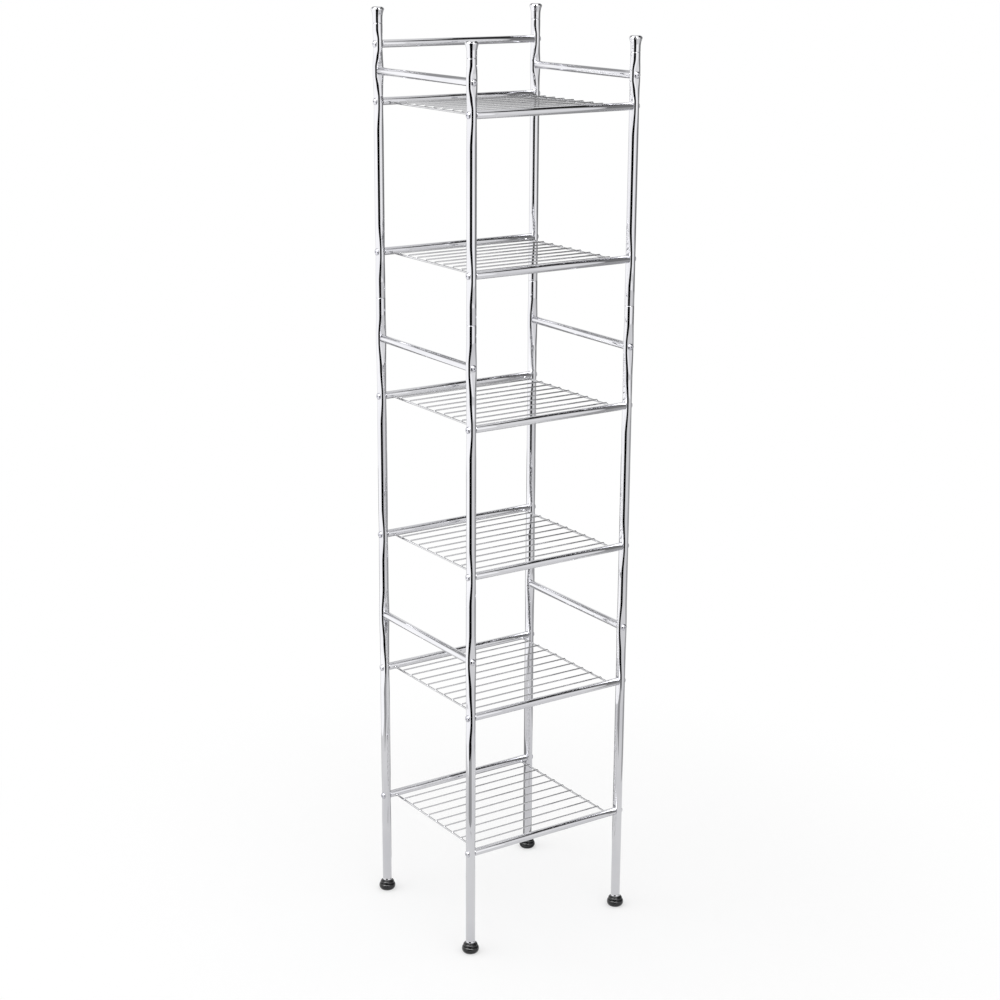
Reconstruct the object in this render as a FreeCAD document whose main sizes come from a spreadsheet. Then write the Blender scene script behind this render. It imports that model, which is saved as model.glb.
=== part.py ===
import FreeCAD, Part
import functools
import math
import operator
import os
import types

import Sketcher

# Bathroom storage tower: six wire shelves between four posts of chromed steel tube.
# Millimetres. The origin is on the floor, midway between the posts.
# +X runs along the front to the right, +Y to the back and +Z up.
# Shelves are counted from the top.

Vector = FreeCAD.Vector

SIZES = [
    ("post_spacing_x", 305, "post axis to post axis along the front"),
    ("post_spacing_y", 274, "post axis to post axis from front to back"),
    ("post_od", 15.9, "outer diameter of the post tube"),
    ("post_wall", 0.9, "wall of the post tube"),
    ("seat_press", 4.1, "thickness that the post loses where it is pressed flat for a joint"),
    ("seat_margin", 1.5, "flat length above and below the tube that meets it"),
    ("seat_blend", 38, "length over which a flat runs out into the round post"),
    ("post_split_drop", 76, "joint of upper and lower post, below the second shelf"),
    ("connector_length", 60, "sleeve inside the post joint"),
    ("connector_wall", 1.2, "wall of that sleeve"),
    ("shelf_tube_od", 12.7, "outer diameter of the shelf tubes"),
    ("shelf_tube_wall", 0.8, "wall of the shelf tubes"),
    ("rail_od", 12.7, "outer diameter of the rails"),
    ("rail_wall", 0.8, "wall of the rails"),
    ("bottom_shelf_height", 181, "floor to the axis of the lowest shelf tubes"),
    ("shelf_pitch", 242, "height from shelf to shelf"),
    ("top_rail_rise", 48, "top side rails above the first shelf"),
    ("middle_rail_rise", 98.5, "middle side rails above the third shelf"),
    ("lower_rail_rise", 98.5, "lower side rails above the fifth shelf"),
    ("back_rail_rise", 42, "back rail above the top side rails"),
    ("front_post_rise", 35, "top of the front posts above the top side rails"),
    ("back_post_rise", 32, "top of the back posts above the back rail"),
    ("cross_wire_od", 2.4, "wires of the deck that run along X"),
    ("side_wire_od", 3.2, "two wires under them that run along Y"),
    ("side_wire_inset", 20, "side wire axis from the post axis"),
    ("side_wire_drop", 2, "side wire axis below the shelf tube axis"),
    ("first_wire_inset", 31, "first cross wire from the shelf tube axis"),
    ("wire_overhang", 0.4, "cross wire end beyond the side wire axis"),
    ("weld_depth", 0.3, "depth that crossing wires are welded into each other"),
    ("finial_neck", 8, "straight length of the finial above the post"),
    ("finial_flare_height", 13.4, "height over which the finial widens"),
    ("finial_flare", 2.9, "how far the finial's rim stands out beyond the post"),
    ("finial_flare_hollow", 0.73, "depth of the flare's hollow curve"),
    ("finial_rim_height", 4.6, "height of the rounded rim"),
    ("finial_rim_reach", 5.35, "width of the rounded rim, seen from above"),
    ("finial_rim_swell", 1.3, "swell of the rounded rim"),
    ("finial_spigot_length", 9, "spigot inside the post"),
    ("spigot_clearance", 1, "round bore of the post below the spigot"),
    ("slip_gap", 0.1, "radial gap of finial spigots and connector sleeves"),
    ("screw_od", 5, "shank of the screws"),
    ("screw_head_od", 11, "pan head"),
    ("screw_head_height", 3, "pan head"),
    ("screw_head_edge", 1.1, "straight edge of the pan head"),
    ("screw_crown_od", 5.4, "flat middle of the pan head"),
    ("screw_crown_swell", 0.33, "swell of the pan head's shoulder"),
    ("recess_span", 4.2, "cross recess, tip to tip"),
    ("recess_width", 1.1, "arm of the cross recess"),
    ("recess_depth", 1.4, "depth of the cross recess"),
    ("screw_engagement", 15, "shank length inside a tube"),
    ("screw_hole_gap", 0.25, "radial gap of the screw holes in the posts"),
    ("insert_length", 18, "threaded insert in a tube end"),
    ("insert_gap", 0.05, "radial gap between an insert and its tube"),
    ("thread_gap", 0.05, "radial gap between a thread and its insert"),
    ("foot_face_od", 23.2, "flat underside of the foot"),
    ("foot_lower_height", 11.2, "lower ring of the foot"),
    ("foot_lower_od", 26, "top of the lower ring"),
    ("foot_lower_swell", 2.12, "swell of the lower ring"),
    ("foot_step", 0.6, "height of the step between the rings"),
    ("foot_upper_od", 24.4, "bottom of the upper ring"),
    ("foot_upper_height", 4.6, "upper ring of the foot"),
    ("foot_upper_swell", 1.1, "swell of the upper ring"),
    ("foot_neck_od", 17.6, "top of the upper ring"),
    ("foot_neck_height", 1.3, "neck above the upper ring"),
    ("foot_top_od", 16.8, "top of the neck"),
    ("foot_stop_gap", 0.3, "gap between a foot that is screwed home and its collar"),
    ("stud_od", 8, "thread of the foot"),
    ("stud_floor", 5, "plastic under the stud"),
    ("stud_length", 32, "stud from end to end"),
    ("stud_chamfer", 1, "chamfer at the stud's tip"),
    ("collar_height", 2.5, "bright collar under the post"),
    ("collar_barrel", 22, "barrel of the collar inside the post"),
]

SHELF_COUNT = 6
WIRE_COUNT = 9
BOTTOM_SHELF = SHELF_COUNT
SPLIT_SHELF = 2
SIDES = {"left": -1, "right": 1}
DEPTHS = {"front": -1, "back": 1}
LEAST_LENGTH = 0.001  # a shorter round length of a post is left out


doc = FreeCAD.newDocument("storage_tower")
sheet = doc.addObject("Spreadsheet::Sheet", "sizes")
for row, (alias, value, meaning) in enumerate(SIZES, start=1):
    sheet.set(f"A{row}", meaning)
    sheet.set(f"B{row}", str(value))
    sheet.setAlias(f"B{row}", alias)
doc.recompute()


OPERATIONS = {"+": operator.add, "-": operator.sub, "*": operator.mul, "/": operator.truediv}


class Size:
    """A number together with the sheet formula that it comes from."""

    def __init__(self, value, formula):
        self.value = value
        self.formula = formula

    def __add__(self, other):
        return combine(self, "+", other)

    def __sub__(self, other):
        return combine(self, "-", other)

    def __mul__(self, other):
        return combine(self, "*", other)

    def __truediv__(self, other):
        return combine(self, "/", other)


def as_size(number):
    return number if isinstance(number, Size) else Size(float(number), str(number))


def combine(left, sign, right):
    left, right = as_size(left), as_size(right)
    value = OPERATIONS[sign](left.value, right.value)
    return Size(value, f"({left.formula} {sign} {right.formula})")


def bind(thing, prop, size):
    thing.setExpression(prop, as_size(size).formula)


def place(thing, x, y, z, rotation=None):
    """Bind a piece's place to the sheet, with a fixed turn where one is given."""
    thing.Placement = FreeCAD.Placement(Vector(), rotation or FreeCAD.Rotation())
    for axis, size in (("x", x), ("y", y), ("z", z)):
        bind(thing, f"Placement.Base.{axis}", size)


s = types.SimpleNamespace(**{
    alias: Size(float(sheet.get(alias)), f"sizes.{alias}") for alias, value, meaning in SIZES
})

# Places and sizes that follow from the sheet
ZERO = as_size(0)
half_x = s.post_spacing_x / 2
half_y = s.post_spacing_y / 2
seat_thickness = s.post_od - s.seat_press
half_seat = seat_thickness / 2
post_radius = s.post_od / 2
post_bore_radius = post_radius - s.post_wall
shelf_tube_bore_radius = s.shelf_tube_od / 2 - s.shelf_tube_wall
rail_bore_radius = s.rail_od / 2 - s.rail_wall
shelf_z = {
    shelf: s.bottom_shelf_height + s.shelf_pitch * (BOTTOM_SHELF - shelf)
    for shelf in range(1, SHELF_COUNT + 1)
}
rail_z = {
    "top": shelf_z[1] + s.top_rail_rise,
    "middle": shelf_z[3] + s.middle_rail_rise,
    "lower": shelf_z[5] + s.lower_rail_rise,
}
back_rail_z = rail_z["top"] + s.back_rail_rise
foot_height = (
    s.foot_lower_height + s.foot_step + s.foot_upper_height + s.foot_neck_height
)
collar_z = foot_height + s.foot_stop_gap
post_bottom_z = collar_z + s.collar_height
post_split_z = shelf_z[SPLIT_SHELF] - s.post_split_drop
post_top_z = {
    "front": rail_z["top"] + s.front_post_rise,
    "back": back_rail_z + s.back_post_rise,
}

nodes = []


def keep(piece, label):
    """Give a finished sub-part its name and put it on the list of pieces to write."""
    piece.Label = label
    nodes.append(piece)
    return piece


def origin_plane(body, role):
    return next(plane for plane in body.Origin.OriginFeatures if plane.Role == role)


def attached_sketch(body, role):
    sketch = body.newObject("Sketcher::SketchObject", f"{body.Name}_sketch")
    sketch.AttachmentSupport = (origin_plane(body, role), [""])
    sketch.MapMode = "FlatFace"
    return sketch


def tie(sketch, kind, *arguments):
    """Add a dimension to a sketch and bind it to the sheet."""
    *ends, size = arguments
    index = sketch.addConstraint(Sketcher.Constraint(kind, *ends, size.value))
    bind(sketch, f"Constraints[{index}]", size)


def pin_corner(sketch, edge, end, radius, height):
    """Hold one corner of a turned outline at its radius and height."""
    for kind, size, axis in (("DistanceX", radius, -2), ("DistanceY", height, -1)):
        if size.value == 0:
            sketch.addConstraint(Sketcher.Constraint("PointOnObject", edge, end, axis))
        else:
            tie(sketch, kind, -1, 1, edge, end, size)


def arc_between(start, end, swell, side):
    """Anticlockwise arc over two corners that swells to the right of the way, or to the left for -1."""
    chord = end - start
    right = Vector(chord.y, -chord.x, 0).normalize()
    middle = (start + end) / 2 + right * swell * side
    return Part.Arc(start, middle, end) if side > 0 else Part.Arc(end, middle, start)


def arc_radius(corner, following):
    """Radius of the arc that leaves a corner, from its chord and its swell."""
    across = following[0] - corner[0]
    along = following[1] - corner[1]
    swell = corner[2]
    return ((across * across + along * along) / 4 + swell * swell) / (swell * 2)


def turned_body(name, outline):
    """Body turned about its own Z axis from corners of (radius, height).

    A corner may hold a third entry, the swell of the arc to the next corner over its chord, and a
    fourth, the side that the arc swells to: 1 outwards, -1 inwards.
    """
    body = doc.addObject("PartDesign::Body", name)
    sketch = attached_sketch(body, "XZ_Plane")
    points = [Vector(corner[0].value, corner[1].value, 0) for corner in outline]
    heads = []
    tails = []
    for index, corner in enumerate(outline):
        start = points[index]
        end = points[(index + 1) % len(points)]
        if len(corner) == 2:
            edge = sketch.addGeometry(Part.LineSegment(start, end))
            first, last = 1, 2
        else:
            edge = sketch.addGeometry(arc_between(start, end, corner[2].value, corner[3]))
            first, last = (1, 2) if corner[3] > 0 else (2, 1)
        heads.append((edge, first))
        tails.append((edge, last))
    for index, corner in enumerate(outline):
        following = heads[(index + 1) % len(heads)]
        sketch.addConstraint(Sketcher.Constraint("Coincident", *tails[index], *following))
        pin_corner(sketch, *heads[index], corner[0], corner[1])
        if len(corner) > 2:
            following_corner = outline[(index + 1) % len(outline)]
            tie(sketch, "Radius", heads[index][0], arc_radius(corner, following_corner))
    turn = body.newObject("PartDesign::Revolution", f"{name}_turn")
    turn.Profile = sketch
    turn.ReferenceAxis = (sketch, ["V_Axis"])
    return body


def tube_body(name, role, outer, wall, length):
    """Straight tube, centred on the origin, square to one of the body's planes."""
    body = doc.addObject("PartDesign::Body", name)
    sketch = attached_sketch(body, role)
    for diameter in (outer, outer - wall * 2):
        circle = Part.Circle(Vector(), Vector(0, 0, 1), diameter.value / 2)
        edge = sketch.addGeometry(circle)
        sketch.addConstraint(Sketcher.Constraint("Coincident", edge, 3, -1, 1))
        tie(sketch, "Diameter", edge, diameter)
    pad = body.newObject("PartDesign::Pad", f"{name}_pad")
    pad.Profile = sketch
    pad.Midplane = True
    bind(pad, "Length", length)
    return body


# Posts: round tube, pressed flat where a shelf tube or a rail is screwed on.
# A seat is (height, axis of the tube that meets it, diameter of that tube).

def seats_of(depth):
    seats = [(z.value, "x", s.shelf_tube_od.value) for z in shelf_z.values()]
    seats += [(z.value, "y", s.rail_od.value) for z in rail_z.values()]
    if depth == "back":
        seats.append((back_rail_z.value, "x", s.rail_od.value))
    return sorted(seats)


flat_width = math.pi / 2 * s.seat_press.value


def section(z, inset, axis, pressed):
    """Closed outline of the post at one height: four edges, round or pressed flat.

    The flats face along the axis. The girth of the tube stays the same when it is pressed.
    """
    half_flat = flat_width / 2
    if pressed:
        across = half_seat.value - inset
        along = half_flat
        end = half_flat + across
        middle = across
    else:
        radius = post_radius.value - inset
        angle = half_flat / radius
        across = radius * math.cos(angle)
        along = radius * math.sin(angle)
        end = radius
        middle = radius

    def point(normal, tangent):
        return Vector(normal, tangent, z) if axis == "x" else Vector(-tangent, normal, z)

    corners = [point(across, -along), point(across, along)]
    corners += [point(-across, along), point(-across, -along)]
    middles = [point(middle, 0), point(0, end), point(-middle, 0), point(0, -end)]
    edges = []
    for index, bulge in enumerate(middles):
        start = corners[index]
        finish = corners[(index + 1) % 4]
        straight = pressed and index in (0, 2)
        edge = Part.LineSegment(start, finish) if straight else Part.Arc(start, bulge, finish)
        edges.append(edge.toShape())
    return Part.Wire(edges)


def stations(round_from, round_to, seats):
    """Heights along a post, each with the axis of its flats and whether it is pressed there.

    All flats and their blends lie between the two heights, outside which the post stays round.
    """
    flats = [(z - od / 2 - s.seat_margin.value, z + od / 2 + s.seat_margin.value, axis)
             for z, axis, od in seats]
    listed = []
    for index, (low, high, axis) in enumerate(flats):
        first = index == 0
        last = index == len(flats) - 1
        room_below = low - round_from if first else (low - flats[index - 1][1]) / 2
        room_above = round_to - high if last else (flats[index + 1][0] - high) / 2
        blend_below = min(s.seat_blend.value, room_below)
        blend_above = min(s.seat_blend.value, room_above)
        listed.append((low - blend_below, axis, False))
        listed.append((low, axis, True))
        listed.append((high, axis, True))
        listed.append((high + blend_above, axis, False))
    return listed


def pressed_rod(bottom, top, listed, inset):
    """Solid rod with the outline of the post, or of its bore where there is an inset."""
    radius = post_radius.value - inset
    lengths = []
    round_from = bottom
    for index in range(0, len(listed), 4):
        four = listed[index:index + 4]
        height = four[0][0] - round_from
        if height > LEAST_LENGTH:
            lengths.append(Part.makeCylinder(radius, height, Vector(0, 0, round_from)))
        for (z_low, axis, low_pressed), (z_high, _, high_pressed) in zip(four, four[1:]):
            outlines = [section(z_low, inset, axis, low_pressed)]
            if low_pressed and high_pressed:
                lengths.append(Part.Face(outlines[0]).extrude(Vector(0, 0, z_high - z_low)))
            else:
                outlines.append(section(z_high, inset, axis, high_pressed))
                lengths.append(Part.makeLoft(outlines, True, True))
        round_from = four[3][0]
    height = top - round_from
    lengths.append(Part.makeCylinder(radius, height, Vector(0, 0, round_from)))
    return lengths[0].fuse(lengths[1:]).removeSplitter()


@functools.lru_cache
def post_shape(bottom, top, seats, round_from, round_to):
    """Tube with pressed seats and a hole through each of them."""
    listed = stations(round_from, round_to, seats)
    shape = pressed_rod(bottom, top, listed, 0)
    shape = shape.cut(pressed_rod(bottom, top, listed, s.post_wall.value))
    hole_radius = s.screw_od.value / 2 + s.screw_hole_gap.value
    for z, axis, _ in seats:
        along = Vector(1, 0, 0) if axis == "x" else Vector(0, 1, 0)
        start = Vector(0, 0, z) - along * s.post_od.value
        shape = shape.cut(Part.makeCylinder(hole_radius, 2 * s.post_od.value, start, along))
    return shape


def post_length(depth, side, length_name, bottom, top, bottom_fitting, top_fitting):
    """Lower or upper tube of one post, which stays round where a fitting goes into its ends."""
    label = f"post_{depth}_{side}_{length_name}"
    low, high = bottom.value, top.value
    seats = tuple(seat for seat in seats_of(depth) if low < seat[0] < high)
    shape = post_shape(low, high, seats, low + bottom_fitting.value, high - top_fitting.value)
    post = doc.addObject("Part::Feature", label)
    post.Shape = shape.copy()
    place(post, half_x * SIDES[side], half_y * DEPTHS[depth], ZERO)
    return keep(post, label)


def connector(depth, side):
    """Sleeve inside the joint of a lower and an upper post."""
    label = f"post_connector_{depth}_{side}"
    outer = (post_bore_radius - s.slip_gap) * 2
    body = tube_body(label, "XY_Plane", outer, s.connector_wall, s.connector_length)
    place(body, half_x * SIDES[side], half_y * DEPTHS[depth], post_split_z)
    return keep(body, label)


def finial(depth, side):
    """Flared cap with a spigot in the top of the post."""
    label = f"finial_{depth}_{side}"
    spigot = post_bore_radius - s.slip_gap
    shoulder = s.finial_spigot_length
    neck = shoulder + s.finial_neck
    widest = neck + s.finial_flare_height
    top = widest + s.finial_rim_height
    rim_radius = post_radius + s.finial_flare
    body = turned_body(label, [
        (ZERO, ZERO),
        (spigot, ZERO),
        (spigot, shoulder),
        (post_radius, shoulder),
        (post_radius, neck, s.finial_flare_hollow, -1),
        (rim_radius, widest, s.finial_rim_swell, 1),
        (rim_radius - s.finial_rim_reach, top),
        (ZERO, top),
    ])
    place(body, half_x * SIDES[side], half_y * DEPTHS[depth], post_top_z[depth] - shoulder)
    return keep(body, label)


# Feet: a bright collar in the post's end, a threaded stud in it and a black base moulded on the stud

def foot_collar(depth, side):
    label = f"foot_collar_{depth}_{side}"
    bore = s.stud_od / 2 + s.thread_gap
    barrel = post_bore_radius - s.insert_gap
    top = s.collar_height + s.collar_barrel
    body = turned_body(label, [
        (bore, ZERO),
        (post_radius, ZERO),
        (post_radius, s.collar_height),
        (barrel, s.collar_height),
        (barrel, top),
        (bore, top),
    ])
    place(body, half_x * SIDES[side], half_y * DEPTHS[depth], collar_z)
    return keep(body, label)


def foot_stud(depth, side):
    label = f"foot_stud_{depth}_{side}"
    radius = s.stud_od / 2
    body = turned_body(label, [
        (ZERO, ZERO),
        (radius, ZERO),
        (radius, s.stud_length - s.stud_chamfer),
        (radius - s.stud_chamfer, s.stud_length),
        (ZERO, s.stud_length),
    ])
    place(body, half_x * SIDES[side], half_y * DEPTHS[depth], s.stud_floor)
    return keep(body, label)


def foot_base(depth, side):
    label = f"foot_base_{depth}_{side}"
    socket = s.stud_od / 2 + s.thread_gap
    step_top = s.foot_lower_height + s.foot_step
    ring_top = step_top + s.foot_upper_height
    body = turned_body(label, [
        (ZERO, ZERO),
        (s.foot_face_od / 2, ZERO, s.foot_lower_swell, 1),
        (s.foot_lower_od / 2, s.foot_lower_height),
        (s.foot_upper_od / 2, step_top, s.foot_upper_swell, 1),
        (s.foot_neck_od / 2, ring_top),
        (s.foot_top_od / 2, foot_height),
        (socket, foot_height),
        (socket, s.stud_floor),
        (ZERO, s.stud_floor),
    ])
    place(body, half_x * SIDES[side], half_y * DEPTHS[depth], ZERO)
    return keep(body, label)


# Shelves: two tubes along X and a welded deck of wires between them

shelf_tube_length = s.post_spacing_x - seat_thickness
side_rail_length = s.post_spacing_y - seat_thickness


def shelf_tube(shelf, depth):
    label = f"shelf_{shelf}_{depth}_tube"
    body = tube_body(label, "YZ_Plane", s.shelf_tube_od, s.shelf_tube_wall, shelf_tube_length)
    place(body, ZERO, half_y * DEPTHS[depth], shelf_z[shelf])
    return keep(body, label)


def rod(name, axis, diameter, length, x, y, z):
    """Straight round rod whose middle is at x, y, z."""
    turn = {"x": FreeCAD.Rotation(Vector(0, 1, 0), 90), "y": FreeCAD.Rotation(Vector(1, 0, 0), -90)}
    cylinder = doc.addObject("Part::Cylinder", name)
    bind(cylinder, "Radius", as_size(diameter) / 2)
    bind(cylinder, "Height", length)
    start = {"x": x, "y": y}
    start[axis] = start[axis] - length / 2
    place(cylinder, start["x"], start["y"], z, turn[axis])
    return cylinder


def wire_deck(shelf):
    """Cross wires welded on two side wires, whose ends are shaped to the shelf tubes."""
    label = f"shelf_{shelf}_wire_deck"
    side_x = half_x - s.side_wire_inset
    side_z = shelf_z[shelf] - s.side_wire_drop
    cross_z = side_z + s.side_wire_od / 2 + s.cross_wire_od / 2 - s.weld_depth
    cross_length = (side_x + s.wire_overhang) * 2
    cross_pitch = (s.post_spacing_y - s.first_wire_inset * 2) / (WIRE_COUNT - 1)
    first_y = s.first_wire_inset - half_y
    wires = []
    for index in range(WIRE_COUNT):
        name = f"{label}_cross_{index + 1}"
        y = first_y + cross_pitch * index
        wires.append(rod(name, "x", s.cross_wire_od, cross_length, ZERO, y, cross_z))
    for side, sign in SIDES.items():
        name = f"{label}_side_{side}"
        wires.append(rod(name, "y", s.side_wire_od, s.post_spacing_y, side_x * sign, ZERO, side_z))
    grid = doc.addObject("Part::MultiFuse", f"{label}_grid")
    grid.Shapes = wires
    tubes = doc.addObject("Part::MultiFuse", f"{label}_tube_room")
    tubes.Shapes = [
        rod(f"{label}_room_{depth}", "x", s.shelf_tube_od, s.post_spacing_x,
            ZERO, half_y * sign, shelf_z[shelf])
        for depth, sign in DEPTHS.items()
    ]
    deck = doc.addObject("Part::Cut", label)
    deck.Base = grid
    deck.Tool = tubes
    return keep(deck, label)


# Rails

def side_rail(level, side):
    label = f"side_rail_{level}_{side}"
    body = tube_body(label, "XZ_Plane", s.rail_od, s.rail_wall, side_rail_length)
    place(body, half_x * SIDES[side], ZERO, rail_z[level])
    return keep(body, label)


def back_rail():
    label = "back_rail"
    body = tube_body(label, "YZ_Plane", s.rail_od, s.rail_wall, shelf_tube_length)
    place(body, ZERO, half_y, back_rail_z)
    return keep(body, label)


# Fasteners: a screw from the outside of a post into a threaded insert in the end of a tube.
# Each is made once, along Z, and copied to its joints.

shank_length = seat_thickness + s.screw_engagement


def screw_pattern():
    """Pan-head screw with its tip at the origin and its head up."""
    radius = s.screw_od / 2
    head_edge = shank_length + s.screw_head_edge
    head_top = shank_length + s.screw_head_height
    turned = turned_body("screw_turned", [
        (ZERO, ZERO),
        (radius, ZERO),
        (radius, shank_length),
        (s.screw_head_od / 2, shank_length),
        (s.screw_head_od / 2, head_edge, s.screw_crown_swell, 1),
        (s.screw_crown_od / 2, head_top),
        (ZERO, head_top),
    ])
    arms = []
    spans = {"x": (s.recess_span, s.recess_width), "y": (s.recess_width, s.recess_span)}
    for name, (across, along) in spans.items():
        arm = doc.addObject("Part::Box", f"screw_recess_{name}")
        bind(arm, "Length", across)
        bind(arm, "Width", along)
        bind(arm, "Height", s.recess_depth)
        place(arm, ZERO - across / 2, ZERO - along / 2, head_top - s.recess_depth)
        arms.append(arm)
    recess = doc.addObject("Part::Fuse", "screw_recess")
    recess.Base, recess.Tool = arms
    screw = doc.addObject("Part::Cut", "screw_pattern")
    screw.Base = turned
    screw.Tool = recess
    return screw


def insert_pattern(name, bore_radius):
    """Threaded insert for a tube end, with its middle at the origin."""
    outer_radius = bore_radius - s.insert_gap
    wall = outer_radius - s.screw_od / 2 - s.thread_gap
    return tube_body(name, "XY_Plane", outer_radius * 2, wall, s.insert_length)


def joint_places(kind):
    """Point on the post axis of each joint of one kind, with the direction out of the post."""
    places = []
    for side, x_sign in SIDES.items():
        for depth, y_sign in DEPTHS.items():
            x = half_x.value * x_sign
            y = half_y.value * y_sign
            out_x = Vector(x_sign, 0, 0)
            out_y = Vector(0, y_sign, 0)
            if kind == "shelf":
                places += [(Vector(x, y, z.value), out_x) for z in shelf_z.values()]
            elif kind == "side_rail":
                places += [(Vector(x, y, z.value), out_y) for z in rail_z.values()]
            elif depth == "back":
                places.append((Vector(x, y, back_rail_z.value), out_x))
    return places


def fastener_group(label, pattern, places, reach):
    """Copies of one fastener, each as its own solid, reach along the way out of each post axis."""
    copies = []
    for centre, out in places:
        turn = FreeCAD.Rotation(Vector(0, 0, 1), out)
        fastener = pattern.Shape.copy()
        fastener.Placement = FreeCAD.Placement(centre + out * reach, turn)
        copies += fastener.Solids
    group = doc.addObject("Part::Feature", label)
    group.Shape = Part.makeCompound(copies)
    return keep(group, label)


for side in SIDES:
    for depth in DEPTHS:
        post_length(depth, side, "lower", post_bottom_z, post_split_z,
                    s.collar_barrel, s.connector_length / 2)
        post_length(depth, side, "upper", post_split_z, post_top_z[depth],
                    s.connector_length / 2, s.finial_spigot_length + s.spigot_clearance)
        connector(depth, side)
        finial(depth, side)
        foot_collar(depth, side)
        foot_stud(depth, side)
        foot_base(depth, side)
for shelf in shelf_z:
    shelf_tube(shelf, "front")
    shelf_tube(shelf, "back")
    wire_deck(shelf)
for level in rail_z:
    for side in SIDES:
        side_rail(level, side)
back_rail()

screw = screw_pattern()
shelf_insert = insert_pattern("shelf_insert_pattern", shelf_tube_bore_radius)
rail_insert = insert_pattern("rail_insert_pattern", rail_bore_radius)
doc.recompute()

screw_reach = half_seat.value - shank_length.value
insert_reach = -half_seat.value - s.insert_length.value / 2
INSERTS = {"shelf": shelf_insert, "side_rail": rail_insert, "back_rail": rail_insert}
for kind, insert in INSERTS.items():
    fastener_group(f"{kind}_screws", screw, joint_places(kind), screw_reach)
    fastener_group(f"{kind}_inserts", insert, joint_places(kind), insert_reach)
doc.recompute()

for thing in doc.Objects:
    if "Invalid" in thing.State or "Error" in thing.State:
        raise RuntimeError(f"{thing.Label} failed to build")
for node in nodes:
    if node.Shape.isNull() or not node.Shape.isValid():
        raise RuntimeError(f"{node.Label} has no valid shape")

os.makedirs("parts", exist_ok=True)
for node in nodes:
    node.Shape.exportStep(os.path.join("parts", f"{node.Label}.step"))
    box = node.Shape.BoundBox
    print(f"{node.Label}: {len(node.Shape.Solids)} solids, {node.Shape.Volume:.1f} mm3, "
          f"z {box.ZMin:.1f} to {box.ZMax:.1f}")
print(f"{len(nodes)} sub-parts")
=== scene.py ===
# %% [markdown]
# Bathroom storage tower: chrome tube posts, six wire shelves and four levelling feet.
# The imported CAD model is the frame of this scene. Every piece below takes its place from the CAD
# nodes, in metres, and then stands for them with finer edges, seams, welds and threads.

# %% Load the frame
from math import asin, atan2, cos, degrees, hypot, pi, radians, sin, sqrt

import bmesh
import bpy
from mathutils import Matrix, Vector


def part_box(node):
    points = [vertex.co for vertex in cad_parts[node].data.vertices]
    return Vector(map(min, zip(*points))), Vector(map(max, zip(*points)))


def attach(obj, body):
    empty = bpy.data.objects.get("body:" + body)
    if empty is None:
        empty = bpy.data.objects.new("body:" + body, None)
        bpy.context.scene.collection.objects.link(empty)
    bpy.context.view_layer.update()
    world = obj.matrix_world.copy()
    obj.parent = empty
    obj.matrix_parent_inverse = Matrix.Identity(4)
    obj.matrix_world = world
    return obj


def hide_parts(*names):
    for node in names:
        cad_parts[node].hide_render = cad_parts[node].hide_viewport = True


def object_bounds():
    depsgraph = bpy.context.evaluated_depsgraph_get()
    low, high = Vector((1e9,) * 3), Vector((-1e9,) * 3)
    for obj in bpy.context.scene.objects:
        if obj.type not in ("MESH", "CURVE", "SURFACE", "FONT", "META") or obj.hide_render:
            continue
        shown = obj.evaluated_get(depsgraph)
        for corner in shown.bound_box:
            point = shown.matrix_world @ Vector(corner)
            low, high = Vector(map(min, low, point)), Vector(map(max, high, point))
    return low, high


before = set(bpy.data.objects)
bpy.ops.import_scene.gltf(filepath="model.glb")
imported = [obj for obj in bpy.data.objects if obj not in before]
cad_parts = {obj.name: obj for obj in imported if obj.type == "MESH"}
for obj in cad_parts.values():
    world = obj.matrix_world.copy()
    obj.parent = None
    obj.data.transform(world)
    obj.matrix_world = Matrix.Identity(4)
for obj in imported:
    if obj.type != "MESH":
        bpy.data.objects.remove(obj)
cad_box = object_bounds()
scene = bpy.context.scene
MM = 0.001

# %% [markdown]
# The camera stands in front of the tower and to its left, a little higher than its top.
# Its angles and lens were fitted to the places of the shelf joints in the photograph, and the
# picture is taken to be as wide as it is high. The photograph was taken with a shifted lens. This
# camera has a plain one, so the tower stays whole in every other view.

# %% Camera
SENSOR_WIDTH = 36.0
FOCAL_IN_PICTURE_WIDTHS = 1.982
CAMERA_PLACE = Vector((-1.7884, -2.6512, 1.668))
CAMERA_AZIMUTH = radians(-33.919)
CAMERA_ELEVATION = radians(16.26)
CAMERA_ROLL = radians(0.333)

camera_data = bpy.data.cameras.new("camera")
camera_data.sensor_width = SENSOR_WIDTH
camera_data.lens = SENSOR_WIDTH * FOCAL_IN_PICTURE_WIDTHS
camera = bpy.data.objects.new("camera", camera_data)
scene.collection.objects.link(camera)
turn = (Matrix.Rotation(CAMERA_AZIMUTH, 4, "Z")
        @ Matrix.Rotation(pi / 2 - CAMERA_ELEVATION, 4, "X")
        @ Matrix.Rotation(CAMERA_ROLL, 4, "Z"))
camera.matrix_world = Matrix.Translation(CAMERA_PLACE) @ turn
scene.camera = camera
scene.view_settings.view_transform = "Standard"
print("camera lens:", round(camera_data.lens, 1), "mm")

# %% [markdown]
# Materials are node trees, and one small function adds every node: its settings are properties or
# input values, and its links name the sockets that feed it. Colours are written as sRGB hex, the
# way a colour picker shows them, and turned to the linear values that the shader works with.

# %% Colours and nodes
def linear(hex_colour):
    """sRGB hex to a linear RGBA colour."""
    parts = [int(hex_colour[i:i + 2], 16) / 255 for i in (1, 3, 5)]
    return [c / 12.92 if c <= 0.04045 else ((c + 0.055) / 1.055) ** 2.4 for c in parts] + [1.0]


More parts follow.
